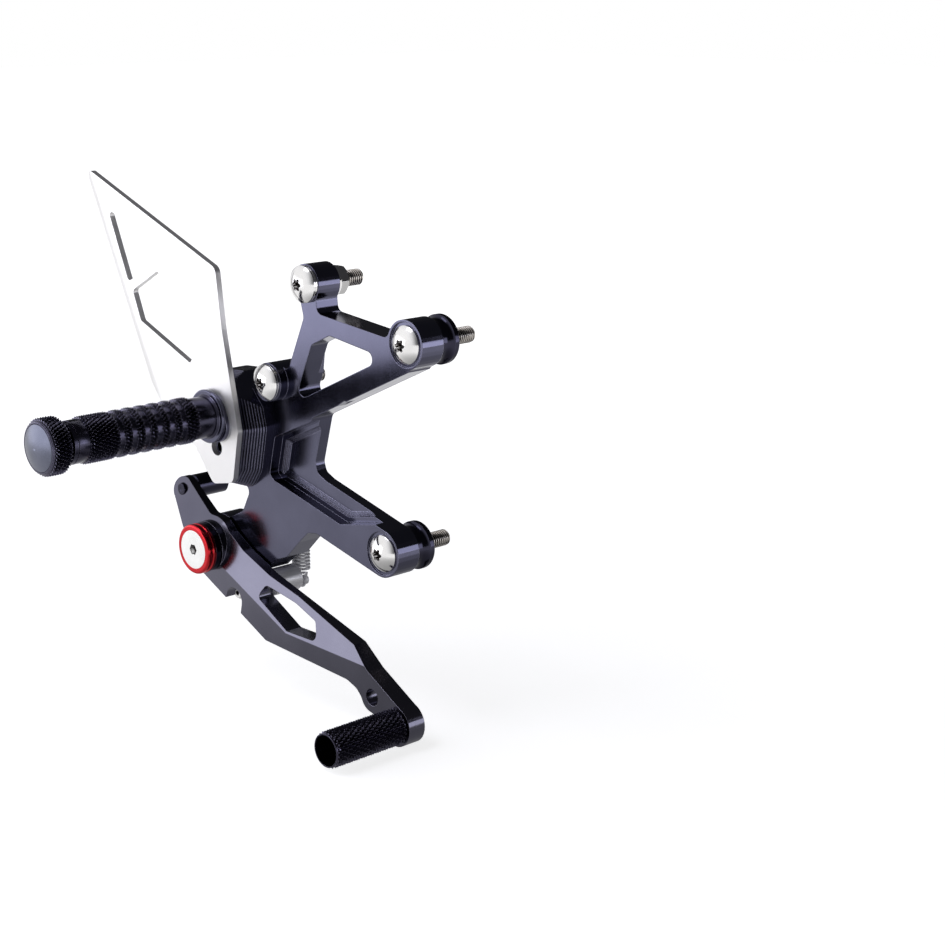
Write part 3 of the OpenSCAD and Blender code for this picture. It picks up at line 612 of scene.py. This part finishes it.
# The bush turns on the spring's stud, so its bore is off its centre
def makeStopBush(bush):
    low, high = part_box("spring_stud")
    centreX, centreZ = bush["centre"]
    bore = (high[0] - low[0]) / 2 / mm + bush["boreClear"]
    length, radius, edge = bush["outboard"] - bush["inboard"], bush["radius"], bush["edge"]
    rings = [
        (bore, 0), (radius - edge, 0), (radius, edge),
        (radius, length - edge), (radius - edge, length), (bore, length),
    ]
    mesh = bmesh.new()
    startEdges, endEdges = ringWalk(mesh, bush["segments"], rings)
    shift = Vector(((low[0] + high[0]) / 2 - centreX, (low[2] + high[2]) / 2 - centreZ, 0))
    outside = (radius - edge) * mm
    boreVerts = [vert for vert in mesh.verts if vert.co.xy.length < (bore * mm + outside) / 2]
    bmesh.ops.translate(mesh, verts=boreVerts, vec=shift)
    bmesh.ops.bridge_loops(mesh, edges=startEdges + endEdges)
    place = Matrix.Translation((centreX, -bush["inboard"] * mm, centreZ)) @ layOutboard
    piece = finishPiece(mesh, "stopBush", place, "zincPlated", "lever", smoothAngles["turned"])
    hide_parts("stop_pin")


makeStopBush(stopBush)

rodPin = {
    "segments": 40,
    "radius": 3.0,
    "length": 25.1,  # mm, up to the lever's sloped face
    "edge": 0.3,
    "dimple": (1.2, 1.0, 0.25),  # its two radii and its depth
    "centre": 0.3,  # radius of the flat at both ends
}


def makeRodPin(pin):
    radius, length, edge, centre = pin["radius"], pin["length"], pin["edge"], pin["centre"]
    mouth, seat, depth = pin["dimple"]
    rings = [
        (centre, 0), (radius - edge, 0), (radius, edge), (radius, length - edge), (radius - edge, length),
        (mouth, length), (seat, length - depth), (centre, length - depth),
    ]
    mesh = bmesh.new()
    for edges in ringWalk(mesh, pin["segments"], rings):
        bmesh.ops.holes_fill(mesh, edges=edges)
    piece = finishPiece(
        mesh, "flushRodPin", axisPlace("rod_pin"), "blackTurned", "lever", smoothAngles["turned"]
    )
    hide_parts("rod_pin")


makeRodPin(rodPin)
print("stop bush and rod pin made")

boltThread = {
    "pitch": 1.25,  # mm, as every length here
    "depth": 0.75,
    "radius": 4.0,
    "crestDrop": 0.04,
    "crest": (0.42, 0.58),  # where the crest starts and ends in a pitch
    "stepsPerTurn": 24,
    "spareTurns": 3,
    "leadIn": 0.9,
    "tipShare": 0.8,  # of the radius, left at the very tip
    "length": {"bolt_front": 19, "bolt_lower": 19, "bolt_upper": 13.5, "bolt_middle": 17},
}
tiny = 0.000001  # metres
squareOn = 0.99  # share of a face's normal along the bolt, on its flat ends


def wholeMesh(mesh):
    return mesh.verts[:] + mesh.edges[:] + mesh.faces[:]


# The head and shank are the CAD solid's own, and only the end that shows its thread is new
def makeBolt(name, thread):
    low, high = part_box(name)
    end, threadLength = high[1], thread["length"][name] * mm
    mesh = bmesh.new()
    mesh.from_mesh(nodes[name].data)
    bmesh.ops.remove_doubles(mesh, verts=mesh.verts, dist=tiny)
    bmesh.ops.bisect_plane(
        mesh, geom=wholeMesh(mesh), plane_co=(0, end - threadLength, 0), plane_no=(0, 1, 0), clear_outer=True
    )
    bmesh.ops.holes_fill(mesh, edges=[edge for edge in mesh.edges if edge.is_boundary])
    head = finishPiece(
        mesh, name + "Head", Matrix.Identity(4), "brightSteel", "bracket_unit", smoothAngles["bolt"]
    )
    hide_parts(name)

    pitch, root = thread["pitch"] * mm, (thread["radius"] - thread["depth"]) * mm
    crest, steps = (thread["radius"] - thread["crestDrop"]) * mm, thread["stepsPerTurn"]
    crestStart, crestEnd = thread["crest"]
    turns = math.ceil(threadLength / pitch) + thread["spareTurns"]
    mesh = bmesh.new()
    profile = [(root, 0.0), (crest, crestStart), (crest, crestEnd), (root, 1.0)]
    verts = [mesh.verts.new((radius, 0, -pitch + share * pitch)) for radius, share in profile]
    edges = [mesh.edges.new(pair) for pair in zip(verts, verts[1:])]
    bmesh.ops.spin(
        mesh, geom=verts + edges, cent=(0, 0, 0), axis=(0, 0, 1), dvec=(0, 0, pitch / steps),
        angle=2 * math.pi * turns, steps=turns * steps, use_merge=False, use_duplicate=False,
    )
    bmesh.ops.remove_doubles(mesh, verts=mesh.verts, dist=10 * tiny)
    lead = thread["leadIn"] * mm
    for height, side in ((0.0, -1), (threadLength - lead, 1)):
        bmesh.ops.bisect_plane(
            mesh, geom=wholeMesh(mesh), plane_co=(0, 0, height), plane_no=(0, 0, side), clear_outer=True
        )
        cutEdges = [
            edge for edge in mesh.edges
            if edge.is_boundary and all(abs(vert.co.z - height) < tiny for vert in edge.verts)
        ]
        bmesh.ops.holes_fill(mesh, edges=cutEdges)
    caps = [
        face for face in mesh.faces
        if face.calc_center_median().z > threadLength - lead - tiny and abs(face.normal.z) > squareOn
    ]
    grown = bmesh.ops.extrude_face_region(mesh, geom=caps)["geom"]
    tip = [item for item in grown if isinstance(item, bmesh.types.BMVert)]
    bmesh.ops.translate(mesh, verts=tip, vec=(0, 0, lead))
    bmesh.ops.scale(mesh, verts=tip, vec=(thread["tipShare"], thread["tipShare"], 1))
    bmesh.ops.delete(mesh, geom=caps, context="FACES_ONLY")
    place = Matrix.Translation(((low[0] + high[0]) / 2, end - threadLength, (low[2] + high[2]) / 2)) @ layInboard
    rod = finishPiece(mesh, name + "Thread", place, "threadSteel", "bracket_unit", smoothAngles["bolt"])
    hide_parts(name)


for boltName in boltThread["length"]:
    makeBolt(boltName, boltThread)
print("bolts made")


# Studio: a pale floor under the toe peg, air that is bright on the left and dark behind, and soft lamps
studio = {
    "floorDrop": 0.0006,  # metres, as every length here
    "floorSize": 12,
    "floorColor": (0.80, 0.80, 0.82, 1),
    "floorGlow": (0.79, 1.0),  # near the part and far from it
    "glowReach": (0.25, 1.1),  # from the part, where the glow starts to grow and where it is full
    "mirrorGlow": (0.14, 1.0),  # the floor as the metal shows it, with a painted shadow: dark near the part and full far from it
    "mirrorReach": (0.09, 0.44),
    "brightSide": (-0.66, -0.74, -0.12),
    "air": (0.04, 0.92),  # away from the bright side and towards it
    "airRamp": (0.10, 0.80),
    "airColor": (0.93, 0.94, 1.0, 1),
    "lamps": [
        # place, aim, width, height, watts
        ((-0.63, -0.62, 0.02), (-0.08, 0, 0.0), 0.9, 0.38, 1.8),
        ((1.03, 0.88, -0.06), (-0.02, 0, -0.06), 0.46, 0.62, 2.2),
        ((-0.35, -0.75, 1.30), (-0.08, 0, -0.04), 0.7, 0.5, 3.0),
    ],
    "lampColor": (0.90, 0.91, 1.0),
}


white = (1, 1, 1, 1)


def makeFloor(setup):
    mesh = bmesh.new()
    bmesh.ops.create_grid(mesh, x_segments=1, y_segments=1, size=setup["floorSize"] / 2)
    low = min(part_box(name)[0][2] for name in ("toe_peg", "brake_lever"))
    bmesh.ops.translate(mesh, verts=mesh.verts, vec=(0, 0, low - setup["floorDrop"]))
    data = bpy.data.meshes.new("floor")
    mesh.to_mesh(data)
    mesh.free()
    floor = bpy.data.objects.new("floor", data)
    bpy.context.scene.collection.objects.link(floor)
    material = bpy.data.materials.new("floorPaper")
    material.use_nodes = True
    tree = material.node_tree
    tree.nodes.clear()
    path = tree.nodes.new("ShaderNodeLightPath")
    paper = addNode(tree, "ShaderNodeBsdfDiffuse", {"Color": setup["floorColor"]})
    place = addNode(tree, "ShaderNodeTexCoord")
    away = addNode(tree, "ShaderNodeVectorMath", {0: place.outputs["Object"]}, operation="LENGTH")
    growth = addNode(tree, "ShaderNodeMapRange", {
        "Value": away.outputs["Value"], "From Min": setup["glowReach"][0], "From Max": setup["glowReach"][1],
        "To Min": setup["floorGlow"][0], "To Max": setup["floorGlow"][1],
    })
    glow = addNode(tree, "ShaderNodeEmission", {"Color": white, "Strength": growth.outputs["Result"]})
    both = addNode(tree, "ShaderNodeAddShader", {0: paper.outputs[0], 1: glow.outputs[0]})
    seen = addNode(tree, "ShaderNodeMixShader", {
        0: path.outputs["Is Camera Ray"], 1: paper.outputs[0], 2: both.outputs[0],
    })
    # Painted shadow: glossy rays see a floor whose glow is dark near the part and grows to full far from it
    growth = addNode(tree, "ShaderNodeMapRange", {
        "Value": away.outputs["Value"], "From Min": setup["mirrorReach"][0], "From Max": setup["mirrorReach"][1],
        "To Min": setup["mirrorGlow"][0], "To Max": setup["mirrorGlow"][1],
    }, interpolation_type="SMOOTHSTEP")
    mirrored = addNode(tree, "ShaderNodeEmission", {"Color": white, "Strength": growth.outputs["Result"]})
    mirrorRay = addNode(tree, "ShaderNodeMath", {
        0: path.outputs["Is Glossy Ray"], 1: path.outputs["Is Transmission Ray"],
    }, operation="MAXIMUM")
    mixed = addNode(tree, "ShaderNodeMixShader", {0: mirrorRay.outputs[0], 1: seen.outputs[0], 2: mirrored.outputs[0]})
    output = tree.nodes.new("ShaderNodeOutputMaterial")
    tree.links.new(mixed.outputs[0], output.inputs["Surface"])
    data.materials.append(material)


def makeAir(setup):
    world = bpy.data.worlds.new("studioAir")
    bpy.context.scene.world = world
    world.use_nodes = True
    tree = world.node_tree
    tree.nodes.clear()
    path = tree.nodes.new("ShaderNodeLightPath")
    place = addNode(tree, "ShaderNodeTexCoord")
    towards = addNode(tree, "ShaderNodeVectorMath", {
        0: place.outputs["Generated"], 1: Vector(setup["brightSide"]).normalized(),
    }, operation="DOT_PRODUCT")
    ramp = addNode(tree, "ShaderNodeMapRange", {
        "Value": towards.outputs["Value"], "From Min": setup["airRamp"][0], "From Max": setup["airRamp"][1],
    }, interpolation_type="SMOOTHSTEP")
    strength = addNode(tree, "ShaderNodeMapRange", {
        "Value": ramp.outputs["Result"], "To Min": setup["air"][0], "To Max": setup["air"][1],
    })
    air = addNode(tree, "ShaderNodeBackground", {"Color": setup["airColor"], "Strength": strength.outputs["Result"]})
    paper = addNode(tree, "ShaderNodeBackground", {"Color": white, "Strength": 1.0})
    mirrorRay = addNode(tree, "ShaderNodeMath", {
        0: path.outputs["Is Glossy Ray"], 1: ramp.outputs["Result"],
    }, operation="MULTIPLY")
    clearRay = addNode(tree, "ShaderNodeMath", {
        0: path.outputs["Is Camera Ray"], 1: path.outputs["Is Transmission Ray"],
    }, operation="MAXIMUM")
    paperRay = addNode(tree, "ShaderNodeMath", {0: clearRay.outputs[0], 1: mirrorRay.outputs[0]}, operation="MAXIMUM")
    mixed = addNode(tree, "ShaderNodeMixShader", {0: paperRay.outputs[0], 1: air.outputs[0], 2: paper.outputs[0]})
    output = tree.nodes.new("ShaderNodeOutputWorld")
    tree.links.new(mixed.outputs[0], output.inputs["Surface"])


def makeLamps(setup):
    for number, (place, aim, width, height, watts) in enumerate(setup["lamps"]):
        data = bpy.data.lights.new(f"lamp{number}", "AREA")
        data.shape, data.size, data.size_y, data.energy = "RECTANGLE", width, height, watts
        data.color = setup["lampColor"]
        lamp = bpy.data.objects.new(f"lamp{number}", data)
        lamp.location = place
        lamp.rotation_mode = "QUATERNION"
        lamp.rotation_quaternion = (Vector(aim) - Vector(place)).to_track_quat("-Z", "Y")
        bpy.context.scene.collection.objects.link(lamp)


makeFloor(studio)
makeAir(studio)
makeLamps(studio)
bpy.context.scene.view_settings.view_transform = "Standard"
print("studio made")
